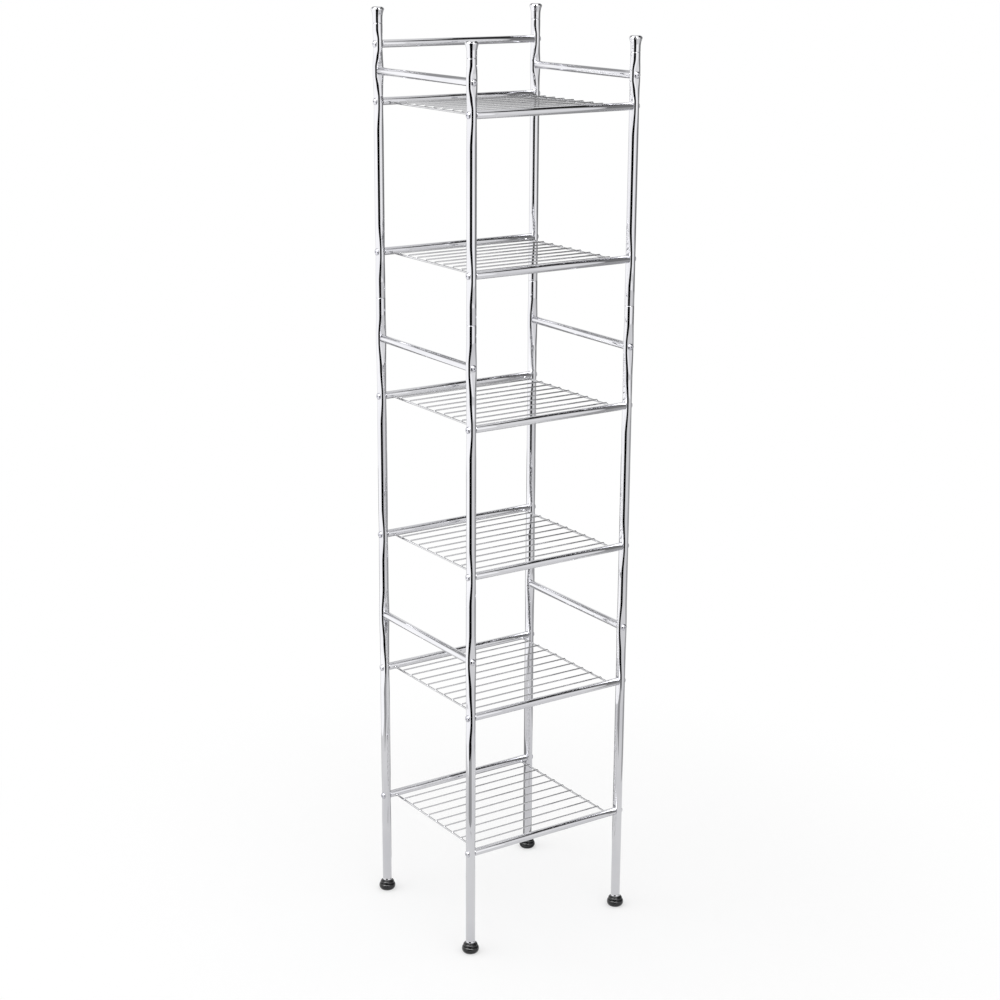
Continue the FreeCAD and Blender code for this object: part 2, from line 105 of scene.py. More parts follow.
def add_node(tree, kind, settings=None, links=None):
    """One node of a tree, with its settings and the sockets that feed it."""
    node = tree.nodes.new("ShaderNode" + kind)
    for name, value in (settings or {}).items():
        if name in node.inputs:
            node.inputs[name].default_value = value
        else:
            setattr(node, name, value)
    for name, source in (links or {}).items():
        tree.links.new(source, node.inputs[name])
    return node


def new_finish(name):
    """An empty material, its node tree, and the Object coordinates of the piece that wears it."""
    finish = bpy.data.materials.new(name)
    finish.use_nodes = True
    finish.node_tree.nodes.clear()
    place = add_node(finish.node_tree, "TexCoord").outputs["Object"]
    return finish, finish.node_tree, place


print("a grey of #808080 is", round(linear("#808080")[0], 3), "in linear light")

# %% [markdown]
# Bright chrome over nickel on steel tube. The plating is a mirror, so its look is mostly what
# stands around it. What is its own: a faint grey that leans to violet and varies from hand's
# breadth to hand's breadth, a polish that varies on a finer scale, and the slight waviness of drawn
# tube, which makes reflected edges wander. The wave is drawn as bump, on a pattern of 40 mm for
# tube, and the polish as roughness.

# %% Chrome-plated finishes
TINT_SIZE = 90 * MM


def plated_finish(name, light, dark, shine, wave_mm, wave_depth_mm, haze_mm):
    """Chrome plate: two close greys, a roughness range, and the size of its waves and haze."""
    finish, tree, place = new_finish(name)
    tint = add_node(tree, "TexNoise", {"Scale": 1 / TINT_SIZE, "Detail": 2.0}, {"Vector": place})
    grey = add_node(tree, "ValToRGB", links={"Fac": tint.outputs["Fac"]})
    first, last = grey.color_ramp.elements
    first.position, first.color = 0.35, linear(dark)
    last.position, last.color = 0.65, linear(light)
    haze = add_node(tree, "TexNoise",
                    {"Scale": 1 / (haze_mm * MM), "Detail": 4.0, "Roughness": 0.6}, {"Vector": place})
    polish = add_node(tree, "MapRange",
                      {"From Min": 0.35, "From Max": 0.7, "To Min": shine[0], "To Max": shine[1]},
                      {"Value": haze.outputs["Fac"]})
    wave = add_node(tree, "TexNoise", {"Scale": 1 / (wave_mm * MM), "Detail": 1.0},
                    {"Vector": place})
    bump = add_node(tree, "Bump", {"Strength": 1.0, "Distance": wave_depth_mm * MM},
                    {"Height": wave.outputs["Fac"]})
    shader = add_node(tree, "BsdfPrincipled", {"Metallic": 1.0},
                      {"Base Color": grey.outputs["Color"], "Roughness": polish.outputs["Result"],
                       "Normal": bump.outputs["Normal"]})
    add_node(tree, "OutputMaterial", links={"Surface": shader.outputs["BSDF"]})
    return finish


chrome_tube = plated_finish("chrome_plated_tube", "#cdcdd0", "#c6c6ca", (0.03, 0.06), 40, 0.02, 14)
# Wire is plated in bulk after welding, so it is a little duller and finer in its haze.
chrome_wire = plated_finish("chrome_plated_wire", "#c6c6c8", "#bababc", (0.07, 0.16), 12, 0.02, 4)
# Screws are barrel plated: small knocks, and the dullest of the three.
chrome_screw = plated_finish("barrel_plated_screw", "#c6c6cb", "#b6b6bd", (0.08, 0.18), 3, 0.012, 2)
# Plating does not reach into a cross recess, so the bare steel there is dull; its dark colour is
# painted shade for the deep recess.
painted_shade_in_recess = plated_finish("recess_with_painted_shade", "#38383b", "#1f1f22", (0.4, 0.6), 3, 0.01, 1)
print("chrome finishes:", chrome_tube.name, chrome_wire.name, chrome_screw.name)

# %% [markdown]
# The feet are injection-moulded black plastic with a soft gloss. The real grain is about 0.1 mm; it
# is drawn at 0.6 mm here, because a finer one would not show. The lowest two millimetres rub on the
# floor, so they are paler, in patches. Studs and inner pieces are steel with zinc plate, whose clear
# passivation leaves patches of blue-grey and straw.

# %% Moulded plastic and zinc finishes
GRAIN_SIZE = 0.6 * MM
GLOSS_PATCH = 5 * MM
SCUFF_FULL, SCUFF_GONE = 0.2 * MM, 2.6 * MM
ZINC_PATCH = 6 * MM


def moulded_finish():
    """Black plastic with a soft gloss, scuffed where it stands on the floor."""
    finish, tree, place = new_finish("moulded_black_plastic")
    grain = add_node(tree, "TexNoise", {"Scale": 1 / GRAIN_SIZE, "Detail": 3.0}, {"Vector": place})
    patches = add_node(tree, "TexNoise", {"Scale": 1 / GLOSS_PATCH, "Detail": 4.0},
                       {"Vector": place})
    height = add_node(tree, "SeparateXYZ", links={"Vector": place}).outputs["Z"]
    low = add_node(tree, "MapRange", {"From Min": SCUFF_FULL, "From Max": SCUFF_GONE,
                                      "To Min": 1.0, "To Max": 0.0}, {"Value": height})
    scuff = add_node(tree, "Math", {"operation": "MULTIPLY"},
                     {0: low.outputs["Result"], 1: patches.outputs["Fac"]})
    black = add_node(tree, "ValToRGB", links={"Fac": scuff.outputs["Value"]})
    first, last = black.color_ramp.elements
    first.position, first.color = 0.1, linear("#0e0f12")
    last.position, last.color = 0.8, linear("#3a3b3d")
    gloss = add_node(tree, "MapRange",
                     {"From Min": 0.3, "From Max": 0.7, "To Min": 0.1, "To Max": 0.18},
                     {"Value": patches.outputs["Fac"]})
    bump = add_node(tree, "Bump", {"Strength": 0.5, "Distance": 0.03 * MM},
                    {"Height": grain.outputs["Fac"]})
    shader = add_node(tree, "BsdfPrincipled", {"IOR": 1.49},
                      {"Base Color": black.outputs["Color"], "Roughness": gloss.outputs["Result"],
                       "Normal": bump.outputs["Normal"]})
    add_node(tree, "OutputMaterial", links={"Surface": shader.outputs["BSDF"]})
    return finish


def zinc_finish():
    """Zinc plate with a clear passivation: blue-grey and straw patches, soft shine."""
    finish, tree, place = new_finish("zinc_plated_steel")
    patches = add_node(tree, "TexNoise", {"Scale": 1 / ZINC_PATCH, "Detail": 5.0},
                       {"Vector": place})
    tint = add_node(tree, "ValToRGB", links={"Fac": patches.outputs["Fac"]})
    first, last = tint.color_ramp.elements
    first.position, first.color = 0.35, linear("#9fa6ad")
    last.position, last.color = 0.68, linear("#c3c0b4")
    shine = add_node(tree, "MapRange",
                     {"From Min": 0.3, "From Max": 0.7, "To Min": 0.26, "To Max": 0.42},
                     {"Value": patches.outputs["Fac"]})
    shader = add_node(tree, "BsdfPrincipled", {"Metallic": 1.0},
                      {"Base Color": tint.outputs["Color"], "Roughness": shine.outputs["Result"]})
    add_node(tree, "OutputMaterial", links={"Surface": shader.outputs["BSDF"]})
    return finish


black_plastic = moulded_finish()
zinc_steel = zinc_finish()
print("other finishes:", black_plastic.name, zinc_steel.name)

# %% [markdown]
# Every piece ends the same way: its faces are turned outwards and shaded smooth, edges sharper
# than a set angle stay crisp, and the mesh becomes an object at the origin that rides on a CAD
# body and stands for CAD nodes. Real edges are never knife sharp, so a bevel eases them and
# catches the thin bright line that edges of plated metal show.

# %% Helpers for the pieces
CRISP = radians(38)
EASED = radians(50)
SIDES = {"left": -1, "right": 1}
DEPTHS = {"front": -1, "back": 1}


def new_object(name, bm, finish):
    """An object at the origin, made of a bmesh and a finish."""
    mesh = bpy.data.meshes.new(name)
    bm.to_mesh(mesh)
    bm.free()
    mesh.materials.append(finish)
    made = bpy.data.objects.new(name, mesh)
    scene.collection.objects.link(made)
    return made


def keep_piece(name, bm, finish, slot, body, *nodes):
    """Makes a finished piece of a bmesh."""
    bmesh.ops.recalc_face_normals(bm, faces=bm.faces)
    for face in bm.faces:
        face.smooth = True
    for edge in bm.edges:
        edge.smooth = edge.calc_face_angle(0.0) < CRISP
    piece = new_object(name, bm, finish)
    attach(piece, body)
    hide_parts(*nodes)
    return piece


def ease_edges(bm, width, steps=3, sharper_than=EASED):
    """Bevels the edges that turn by more than an angle."""
    sharp = [edge for edge in bm.edges if edge.calc_face_angle(0.0) > sharper_than]
    bmesh.ops.bevel(bm, geom=sharp, offset=width, offset_type="OFFSET", segments=steps,
                    profile=0.5, affect="EDGES", material=-1)


def add_rod(bm, start, end, radius, sides, end_radius=None):
    """A closed cylinder or cone between two points, added to a bmesh."""
    way = end - start
    place = Matrix.Translation((start + end) / 2) @ way.to_track_quat("Z", "Y").to_matrix().to_4x4()
    return bmesh.ops.create_cone(bm, cap_ends=True, segments=sides, radius1=radius,
                                 radius2=radius if end_radius is None else end_radius,
                                 depth=way.length, matrix=place)["verts"]


print("edges past", round(degrees(EASED)), "degrees are eased, past", round(degrees(CRISP)), "crisp")

# %% [markdown]
# A post is one round tube that a press has flattened wherever a shelf tube or a rail is screwed
# on, and each flat runs out into the round over some centimetres. The tube could be sculpted or
# lofted; here a circle is extruded ring by ring at the heights that the flats need, and then every
# ring is pressed. Pressing keeps the girth of the tube, so a point that lies some way round the
# circle lies the same way round the flattened section: first along the flat, then round its end.

# %% Heights of the joints
POST_RADIUS = 15.9 / 2 * MM
TUBE_RADIUS = 12.7 / 2 * MM
SHELVES = range(1, 7)
RAIL_LEVELS = ("top", "middle", "lower")


def middle(node):
    """Centre of a CAD node's box."""
    low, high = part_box(node)
    return (low + high) / 2


post_places = {(depth, side): middle(f"post_{depth}_{side}_lower")
               for depth in DEPTHS for side in SIDES}
shelf_heights = {shelf: middle(f"shelf_{shelf}_front_tube").z for shelf in SHELVES}
rail_heights = {level: middle(f"side_rail_{level}_left").z for level in RAIL_LEVELS}
back_rail_height = middle("back_rail").z
print("shelf heights:", [round(z, 4) for z in shelf_heights.values()])

# %% Section of a pressed post
SEAT_PRESS = 4.1 * MM


def pressed_point(angle, press):
    """Place of a point on the section that lies at an angle from the way its flats face."""
    end_radius = POST_RADIUS - press / 2
    half_flat = pi * press / 4
    along = POST_RADIUS * asin(abs(sin(angle)))
    turn_of_end = max(0.0, along - half_flat) / end_radius
    across = end_radius * cos(turn_of_end)
    beside = min(along, half_flat) + end_radius * sin(turn_of_end)
    return across * (1 if cos(angle) >= 0 else -1), beside * (1 if sin(angle) >= 0 else -1)


seat_thickness = 2 * pressed_point(0.0, SEAT_PRESS)[0]
seat_width = 2 * pressed_point(pi / 2, SEAT_PRESS)[1]
print("a pressed seat is", round(seat_thickness / MM, 2), "by", round(seat_width / MM, 2), "mm")

# %% Seats of a post
SEAT_HALF_FLAT = TUBE_RADIUS + 1.5 * MM
SEAT_BLEND = 38 * MM
# A flat runs out along a straight line with this share of a smooth curve in it.
EASE_SHARE = 0.45


def post_seats(depth, low, high):
    """Joint heights between two heights, each with the way its flats face."""
    seats = [(z, "x") for z in shelf_heights.values()] + [(z, "y") for z in rail_heights.values()]
    if depth == "back":
        seats.append((back_rail_height, "x"))
    return sorted(seat for seat in seats if low < seat[0] < high)


def seat_reaches(seats, round_from, round_to):
    """For each seat its height, its flats' way, and how far it blends below and above."""
    reaches = []
    for index, (z, faces) in enumerate(seats):
        below = z - SEAT_HALF_FLAT - (round_from if index == 0 else 0.0)
        above = -z - SEAT_HALF_FLAT + (round_to if index == len(seats) - 1 else 0.0)
        if index > 0:
            below = (z - seats[index - 1][0]) / 2 - SEAT_HALF_FLAT
        if index < len(seats) - 1:
            above = (seats[index + 1][0] - z) / 2 - SEAT_HALF_FLAT
        reaches.append((z, faces, min(SEAT_BLEND, below), min(SEAT_BLEND, above)))
    return reaches


def press_at(z, reaches):
    """How much the post is pressed at a height, and the way its flats face."""
    for seat, faces, below, above in reaches:
        beyond = max(seat - SEAT_HALF_FLAT - z, z - seat - SEAT_HALF_FLAT, 0.0)
        blend = below if z < seat else above
        if beyond < blend:
            share = beyond / blend
            eased = share * share * (3 - 2 * share)
            return SEAT_PRESS * (1 - share + EASE_SHARE * (share - eased)), faces
    return 0.0, "x"


for depth in DEPTHS:
    print("seats of a", depth, "post:", len(post_seats(depth, cad_box[0][2], cad_box[1][2])))

# %% Posts
COLLAR_BARREL = 22 * MM
CONNECTOR_HALF = 30 * MM
FINIAL_SOCKET = 10 * MM
POST_SIDES = 64
POST_EDGE = 0.6 * MM
BLEND_RINGS = 14
LEAST_RING_STEP = 0.01 * MM


def post_piece(depth, side, length, round_below, round_above):
    """A post tube that stays round for some way at its ends, and is pressed at its seats."""
    node = f"post_{depth}_{side}_{length}"
    low, high = (corner.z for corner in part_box(node))
    axis = post_places[depth, side]
    reaches = seat_reaches(post_seats(depth, low, high), low + round_below, high - round_above)
    heights = {low, high}
    for z, _, below, above in reaches:
        steps = [n / BLEND_RINGS for n in range(BLEND_RINGS + 1)]
        heights.update(z - SEAT_HALF_FLAT - below * step for step in steps)
        heights.update(z + SEAT_HALF_FLAT + above * step for step in steps)
    heights = sorted(heights)
    heights = heights[:1] + [upper for lower, upper in zip(heights, heights[1:])
                             if upper - lower > LEAST_RING_STEP]
    bm = bmesh.new()
    bmesh.ops.create_circle(bm, cap_ends=True, segments=POST_SIDES, radius=POST_RADIUS,
                            matrix=Matrix.Translation((0, 0, low)))
    ring = list(bm.edges)
    for lower, upper in zip(heights, heights[1:]):
        made = bmesh.ops.extrude_edge_only(bm, edges=ring)["geom"]
        ring = [part for part in made if isinstance(part, bmesh.types.BMEdge)]
        raised = [part for part in made if isinstance(part, bmesh.types.BMVert)]
        bmesh.ops.translate(bm, verts=raised, vec=(0, 0, upper - lower))
    bmesh.ops.edgeloop_fill(bm, edges=ring)
    ease_edges(bm, POST_EDGE)
    for vert in bm.verts:
        press, faces = press_at(vert.co.z, reaches)
        shrink = hypot(vert.co.x, vert.co.y) / POST_RADIUS
        angle = atan2(vert.co.y, vert.co.x) - (pi / 2 if faces == "y" else 0.0)
        across, beside = pressed_point(angle, press)
        x, y = (across, beside) if faces == "x" else (-beside, across)
        vert.co.x, vert.co.y = axis.x + x * shrink, axis.y + y * shrink
    return keep_piece(f"pressed_post_{depth}_{side}_{length}", bm, chrome_tube, "chrome", "frame",
                      node)


for depth in DEPTHS:
    for side in SIDES:
        post_piece(depth, side, "lower", COLLAR_BARREL, CONNECTOR_HALF)
        piece = post_piece(depth, side, "upper", CONNECTOR_HALF, FINIAL_SOCKET)
print("posts:", 2 * len(post_places), "with", len(piece.data.polygons), "faces in the last one")

# %% [markdown]
# Shelf tubes and rails are plain round tubes that butt against the flats of the posts. Each is a
# closed cylinder from one end of its CAD node to the other, with its ends eased as a saw and a
# tumbler leave them, so that a fine dark line shows where tube and post meet.

# %% Shelf tubes and rails
TUBE_SIDES = 64
TUBE_EDGE = 0.9 * MM


def tube_piece(name, node, along):
    """A tube on a CAD node's axis, along X or Y."""
    low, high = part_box(node)
    centre = (low + high) / 2
    reach = (high - low) / 2
    way = Vector((reach.x, 0, 0)) if along == "x" else Vector((0, reach.y, 0))
    bm = bmesh.new()
    add_rod(bm, centre - way, centre + way, TUBE_RADIUS, TUBE_SIDES)
    ease_edges(bm, TUBE_EDGE)
    return keep_piece(name, bm, chrome_tube, "chrome", "frame", node)


tubes = [tube_piece(f"tube_{depth}_of_shelf_{shelf}", f"shelf_{shelf}_{depth}_tube", "x")
         for shelf in SHELVES for depth in DEPTHS]
tubes += [tube_piece(f"rail_{side}_{level}", f"side_rail_{level}_{side}", "y")
          for level in RAIL_LEVELS for side in SIDES]
tubes.append(tube_piece("rail_back_top", "back_rail", "x"))
print("tubes and rails:", len(tubes), "the back rail is", round(tubes[-1].dimensions.x, 4), "m long")

# %% [markdown]
# A shelf's deck is a welded mat: nine thin cross wires lie on two thicker side wires, and the side
# wires are welded to the front and back tubes. Cross wires are cropped and tumbled, so their ends
# are rounded over. Resistance welding leaves a flat nugget at each crossing, and the side wires get
# a small fillet of weld all round where they meet a tube.

# %% Wire decks
CROSS_WIRE_RADIUS = 1.2 * MM
SIDE_WIRE_RADIUS = 1.6 * MM
WIRE_OVERHANG = 0.4 * MM
WIRE_END_EASE = 0.6 * CROSS_WIRE_RADIUS
FIRST_WIRE_INSET = 31 * MM
CROSS_WIRES = 9
WIRE_SIDES = 16
NUGGET = Vector((1.9, 2.1, 0.8)) * MM
NUGGET_SINK = 0.15 * MM
NUGGET_SIDES, NUGGET_RINGS = 10, 6
FILLET_RADIUS = 2.9 * MM
FILLET_LENGTH = 2.4 * MM
BURIED = 0.7 * MM


def deck_piece(shelf):
    """The welded mat of one shelf: cross wires, side wires, fillets and nuggets."""
    node = f"shelf_{shelf}_wire_deck"
    low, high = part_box(node)
    cross_z = high.z - CROSS_WIRE_RADIUS
    side_z = low.z + SIDE_WIRE_RADIUS
    side_x = high.x - WIRE_OVERHANG
    front, back = (middle(f"shelf_{shelf}_{depth}_tube") for depth in DEPTHS)
    tube_face = sqrt(TUBE_RADIUS ** 2 - (front.z - side_z) ** 2)
    first, last = front.y + FIRST_WIRE_INSET, back.y - FIRST_WIRE_INSET
    rows = [first + (last - first) * n / (CROSS_WIRES - 1) for n in range(CROSS_WIRES)]
    bm = bmesh.new()
    for y in rows:
        add_rod(bm, Vector((-high.x, y, cross_z)), Vector((high.x, y, cross_z)),
                CROSS_WIRE_RADIUS, WIRE_SIDES)
    ease_edges(bm, WIRE_END_EASE)
    for x in (-side_x, side_x):
        ends = front.y + tube_face - BURIED, back.y - tube_face + BURIED
        add_rod(bm, Vector((x, ends[0], side_z)), Vector((x, ends[1], side_z)),
                SIDE_WIRE_RADIUS, WIRE_SIDES)
        for end, inwards in zip(ends, (1, -1)):
            fillet_end = end + inwards * FILLET_LENGTH
            add_rod(bm, Vector((x, end, side_z)), Vector((x, fillet_end, side_z)),
                    FILLET_RADIUS, WIRE_SIDES, SIDE_WIRE_RADIUS)
        for y in rows:
            seam = Vector((x, y, side_z + SIDE_WIRE_RADIUS - NUGGET_SINK))
            place = Matrix.Translation(seam) @ Matrix.Diagonal(NUGGET.to_4d())
            bmesh.ops.create_uvsphere(bm, u_segments=NUGGET_SIDES, v_segments=NUGGET_RINGS,
                                      radius=1.0, matrix=place)
    return keep_piece(f"welded_deck_{shelf}", bm, chrome_wire, "chrome", "frame", node)


for shelf in SHELVES:
    piece = deck_piece(shelf)
print("decks:", len(SHELVES), "with", len(piece.data.polygons), "faces each")

# %% [markdown]
# Finials, collars, feet and screws are all turned or moulded round, so each is an outline spun
# about an axis. An outline is a list of corners, each with its radius, its height, and how far the
# line to the next corner bows outwards; a bowed line becomes an arc of a few points.

# %% Round pieces from an outline
ROUND_STEPS = 64
ARC_STEPS = 10
MERGE_DISTANCE = 0.001 * MM


def traced(outline):
    """Points of an outline of (radius, height, bow) corners, with each bowed line as an arc."""
    points = []
    for (r, z, bow), following in zip(outline, outline[1:] + outline[:1]):
        points.append((r, z))
        if not bow:
            continue
        chord = Vector((following[0] - r, following[1] - z))
        across = Vector((chord.y, -chord.x)).normalized()
        radius = (chord.length ** 2 / 4 + bow ** 2) / (2 * abs(bow))
        half_turn = asin(min(1.0, chord.length / 2 / radius))
        for n in range(1, ARC_STEPS):
            angle = half_turn * (2 * n / ARC_STEPS - 1)
            off = (radius * cos(angle) - radius * cos(half_turn)) * (1 if bow > 0 else -1)
            on = Vector((r, z)) + chord * (0.5 + radius * sin(angle) / chord.length) + across * off
            points.append((on.x, on.y))
    return points


def spun(outline, axis, base, ring=False):
    """A bmesh of an outline in millimetres, spun about an upright axis above a base height."""
    bm = bmesh.new()
    points = traced(outline)
    verts = [bm.verts.new((axis.x + r * MM, axis.y, base + z * MM)) for r, z in points]
    pairs = list(zip(verts, verts[1:])) + ([(verts[-1], verts[0])] if ring else [])
    edges = [bm.edges.new(pair) for pair in pairs]
    bmesh.ops.spin(bm, geom=verts + edges, cent=(axis.x, axis.y, base), axis=(0, 0, 1),
                   angle=2 * pi, steps=ROUND_STEPS, use_merge=True)
    bmesh.ops.remove_doubles(bm, verts=bm.verts, dist=MERGE_DISTANCE)
    return bm


print("round pieces have", ROUND_STEPS, "steps round, and arcs have", ARC_STEPS, "parts")

# %% [markdown]
# The finial is a plated cap: a neck as wide as the post, a hollow flare and a rounded rim with a
# flat top. Its lower edge and the post's upper edge are both eased, and that gives the fine notch
# where the two meet. The collar is a plated ring that closes the post's lower end.

# %% Finials and collars
FINIAL_OUTLINE = [(0, 0, 0), (7.95, 0, 0), (7.95, 8, -0.73), (10.85, 21.4, 1.3), (5.5, 25.86, 0.04),
                  (0, 25.94, 0)]
FINIAL_HEIGHT = 26.0 * MM
FINIAL_EDGE = 0.9 * MM
COLLAR_OUTLINE = [(4.15, 0, 0), (7.95, 0, 0), (7.95, 0.4, 0), (7.05, 2.5, 0), (6.9, 2.5, 0),
                  (6.9, 24.5, 0), (4.15, 24.5, 0)]
COLLAR_EDGE = 0.12 * MM

for (depth, side), axis in post_places.items():
    node = f"finial_{depth}_{side}"
    bm = spun(FINIAL_OUTLINE, axis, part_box(node)[1].z - FINIAL_HEIGHT)
    ease_edges(bm, FINIAL_EDGE)
    keep_piece(f"flared_finial_{depth}_{side}", bm, chrome_tube, "chrome", "frame", node)
    node = f"foot_collar_{depth}_{side}"
    bm = spun(COLLAR_OUTLINE, axis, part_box(node)[0].z, ring=True)
    ease_edges(bm, COLLAR_EDGE)
    keep_piece(f"post_collar_{depth}_{side}", bm, chrome_tube, "chrome", "frame", node)
print("finials and collars:", 2 * len(post_places))

# %% [markdown]
# A foot is a moulded bun in two tiers with a groove between them, on a threaded stud that screws
# into the collar: turning the foot levels the tower. The bun has a shallow hollow underneath, so it
# stands on a ring. The stud is a plain core with a real thread: a small triangle is spun round the
# axis while it climbs one pitch a turn. It shows when a foot is screwed out.

# %% Studs
STUD_RADIUS = 4.0 * MM
STUD_EDGE = 0.5 * MM
THREAD_PITCH = 1.25 * MM
THREAD_DEPTH = 0.65 * MM
RIDGE_HALF_WIDTH = 0.48 * THREAD_PITCH
RIDGE_ROOT = 0.2 * MM
CREST_ROOM = 0.02 * MM
PLAIN_TURNS = 2
TURN_STEPS = 32


def stud_piece(depth, side, axis, body):
    """A stud with a thread that leaves a plain turn at both ends."""
    node = f"foot_stud_{depth}_{side}"
    low, high = (corner.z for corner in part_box(node))
    core = STUD_RADIUS - THREAD_DEPTH
    bm = bmesh.new()
    add_rod(bm, Vector((axis.x, axis.y, low)), Vector((axis.x, axis.y, high)), core, TURN_STEPS)
    ease_edges(bm, STUD_EDGE)
    bottom = low + THREAD_PITCH
    corners = ((core - RIDGE_ROOT, -RIDGE_HALF_WIDTH), (STUD_RADIUS - CREST_ROOM, 0),
               (core - RIDGE_ROOT, RIDGE_HALF_WIDTH))
    verts = [bm.verts.new((axis.x + r, axis.y, bottom + z)) for r, z in corners]
    edges = [bm.edges.new((verts[n], verts[(n + 1) % 3])) for n in range(3)]
    turns = int((high - low) / THREAD_PITCH) - PLAIN_TURNS
    last = bmesh.ops.spin(bm, geom=verts + edges, cent=(axis.x, axis.y, low), axis=(0, 0, 1),
                          dvec=(0, 0, THREAD_PITCH / TURN_STEPS), angle=2 * pi * turns,
                          steps=TURN_STEPS * turns)["geom_last"]
    bm.faces.new(verts)
    bm.faces.new([part for part in last if isinstance(part, bmesh.types.BMVert)])
    return keep_piece(f"threaded_stud_{depth}_{side}", bm, zinc_steel, "zinc_steel", body, node)


print("studs: M", round(2 * STUD_RADIUS / MM), "with a pitch of", THREAD_PITCH / MM, "mm")

# %% Feet
BASE_OUTLINE = [(0, 0.9, 0), (8.6, 0.9, 0), (9.2, 0, 0), (11.6, 0, 1.4), (14.0, 8.6, 0.35),
                (12.0, 11.1, 0), (11.0, 11.3, 0), (11.0, 11.9, 0), (12.2, 12.0, 0.1),
                (12.1, 13.0, 0.75), (9.0, 16.3, -0.15), (8.4, 17.7, 0), (4.2, 17.7, 0),
                (4.2, 15, 0), (0, 15, 0)]
BASE_EDGE = 0.3 * MM
BASE_EASED = radians(30)

for (depth, side), axis in post_places.items():
    body = f"foot_{depth}_{side}"
    node = f"foot_base_{depth}_{side}"
    bm = spun(BASE_OUTLINE, axis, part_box(node)[0].z)
    ease_edges(bm, BASE_EDGE, steps=2, sharper_than=BASE_EASED)
    keep_piece(f"moulded_foot_{depth}_{side}", bm, black_plastic, "foot_plastic", body, node)
    piece = stud_piece(depth, side, axis, body)
print("feet:", len(post_places), "and the last stud has", len(piece.data.polygons), "faces")

# %% [markdown]
# Each joint is held by a pan-head screw with a cross recess. One screw is spun and two crossed,
# tapered blades are cut out of its head with Boolean modifiers; the finished mesh is then copied to
# every joint of its group, turned a little further each time, as screws end up in real life.

# %% One screw
SCREW_OUTLINE = [(0, -26, 0), (2.5, -26, 0), (2.5, 0, 0), (5.5, 0, 0), (5.5, 1.1, 0.33),
                 (2.7, 3, 0.05), (0, 3.05, 0)]
SCREW_EDGE = 0.2 * MM
HEAD_HEIGHT = 3.05 * MM
RECESS_SPAN, RECESS_WIDTH, RECESS_DEPTH = 4.2 * MM, 1.1 * MM, 1.4 * MM
RECESS_TAPER = 0.55
# Faces of the recess lie this near to the axis, and are this steep or this deep; they take the dark
# recess finish, which is painted shade.
RECESS_REACH = 0.52 * RECESS_SPAN
RECESS_STEEP = 0.8
RECESS_DEEP = HEAD_HEIGHT - MM


def blade(turned):
    """A tapered blade that cuts one arm of the cross recess."""
    bm = bmesh.new()
    made = bmesh.ops.create_cube(bm, size=1.0)["verts"]
    bmesh.ops.scale(bm, verts=made, vec=(RECESS_SPAN, RECESS_WIDTH, 2 * RECESS_DEPTH))
    bmesh.ops.scale(bm, verts=[v for v in made if v.co.z < 0], vec=(RECESS_TAPER, RECESS_TAPER, 1))
    bmesh.ops.rotate(bm, verts=made, cent=(0, 0, 0), matrix=Matrix.Rotation(turned, 3, "Z"))
    bmesh.ops.translate(bm, verts=made, vec=(0, 0, HEAD_HEIGHT))
    mesh = bpy.data.meshes.new("blade")
    bm.to_mesh(mesh)
    bm.free()
    return bpy.data.objects.new("blade", mesh)


def screw_pattern():
    """Mesh of one screw on the Z axis, with the underside of its head at the origin."""
    bm = spun(SCREW_OUTLINE, Vector((0, 0, 0)), 0.0)
    ease_edges(bm, SCREW_EDGE, steps=2)
    mesh = bpy.data.meshes.new("screw_pattern")
    bm.to_mesh(mesh)
    bm.free()
    blank = bpy.data.objects.new("screw_blank", mesh)
    tools = [blank, blade(0.0), blade(pi / 2)]
    for tool in tools:
        scene.collection.objects.link(tool)
    for cutter in tools[1:]:
        cut = blank.modifiers.new("recess", "BOOLEAN")
        cut.operation, cut.solver, cut.object = "DIFFERENCE", "EXACT", cutter
    cut_blank = blank.evaluated_get(bpy.context.evaluated_depsgraph_get())
    shaped = bpy.data.meshes.new_from_object(cut_blank)
    for tool in tools:
        bpy.data.objects.remove(tool)
    # Faces deep in the cross recess get the second material, whose dark colour is painted shade.
    for face in shaped.polygons:
        inside = face.center.z > 0 and hypot(face.center.x, face.center.y) < RECESS_REACH
        if inside and (face.normal.z < RECESS_STEEP or face.center.z < RECESS_DEEP):
            face.material_index = 1
    return shaped


screw = screw_pattern()
print("one screw:", len(screw.polygons), "faces")

# %% Screws at the joints
SCREW_TURN = radians(37)


def screw_group(name, node, joints):
    """Copies of the screw at joints: each a point on its head's seat and the way out of the post."""
    bm = bmesh.new()
    for count, (seat, out) in enumerate(joints):
        before = len(bm.verts)
        bm.from_mesh(screw)
        bm.verts.ensure_lookup_table()
        place = (Matrix.Translation(seat) @ out.to_track_quat("Z", "Y").to_matrix().to_4x4()
                 @ Matrix.Rotation(SCREW_TURN * count, 4, "Z"))
        bmesh.ops.transform(bm, matrix=place, verts=bm.verts[before:])
    piece = keep_piece(name, bm, chrome_screw, "chrome", "frame", node)
    # The second material is the painted shade in the cross recess.
    piece.data.materials.append(painted_shade_in_recess)
    return piece


seat_out = POST_RADIUS - SEAT_PRESS / 2
shelf_joints, rail_joints, back_joints = [], [], []
for (depth, side), axis in post_places.items():
    out_x, out_y = Vector((SIDES[side], 0, 0)), Vector((0, DEPTHS[depth], 0))
    for z in shelf_heights.values():
        shelf_joints.append((Vector((axis.x, axis.y, z)) + out_x * seat_out, out_x))
    for z in rail_heights.values():
        rail_joints.append((Vector((axis.x, axis.y, z)) + out_y * seat_out, out_y))
    if depth == "back":
        back_joints.append((Vector((axis.x, axis.y, back_rail_height)) + out_x * seat_out, out_x))
screw_group("pan_head_shelf_screws", "shelf_screws", shelf_joints)
screw_group("pan_head_rail_screws", "side_rail_screws", rail_joints)
screw_group("pan_head_back_rail_screws", "back_rail_screws", back_joints)
print("screws:", len(shelf_joints) + len(rail_joints) + len(back_joints))

